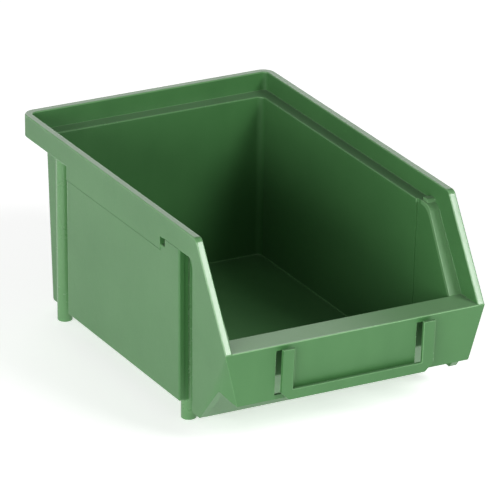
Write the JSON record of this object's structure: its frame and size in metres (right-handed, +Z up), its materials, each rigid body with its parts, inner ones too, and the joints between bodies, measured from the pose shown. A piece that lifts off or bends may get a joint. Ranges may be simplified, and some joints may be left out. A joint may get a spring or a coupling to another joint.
{
  "type": "stackable storage bin",
  "caption": "Small open-fronted stacking bin with a sloped mouth, inner stacking ledge, side skirts, round feet and a front label holder.",
  "frame": {"origin": "centre of the whole bin's footprint, on the plane the feet stand on", "axes": "+Z up, +X to the bin's own right when looked at from the open front, +Y to the back wall; the label holder faces -Y"},
  "size_m": [0.104, 0.1676, 0.0755],
  "materials": {
    "green_plastic": "satin moulded polypropylene"
  },
  "bodies": {
    "root": {"back_wall": "green_plastic", "curved_shelf_left": "green_plastic", "curved_shelf_right": "green_plastic", "floor_pan": "green_plastic", "foot_front_left": "green_plastic", "foot_front_right": "green_plastic", "foot_rear_left": "green_plastic", "foot_rear_right": "green_plastic", "foot_stop_left": "green_plastic", "foot_stop_right": "green_plastic", "front_apron": "green_plastic", "front_lip": "green_plastic", "front_wing_left": "green_plastic", "front_wing_right": "green_plastic", "label_holder_bar_left": "green_plastic", "label_holder_bar_right": "green_plastic", "label_holder_foot": "green_plastic", "ledge_back": "green_plastic", "ledge_left": "green_plastic", "ledge_right": "green_plastic", "nose_slope": "green_plastic", "nose_wall": "green_plastic", "rim_back": "green_plastic", "rim_left": "green_plastic", "rim_right": "green_plastic", "side_panel_left": "green_plastic", "side_panel_right": "green_plastic", "side_wall_left": "green_plastic", "side_wall_right": "green_plastic"}
  },
  "joints": []
}
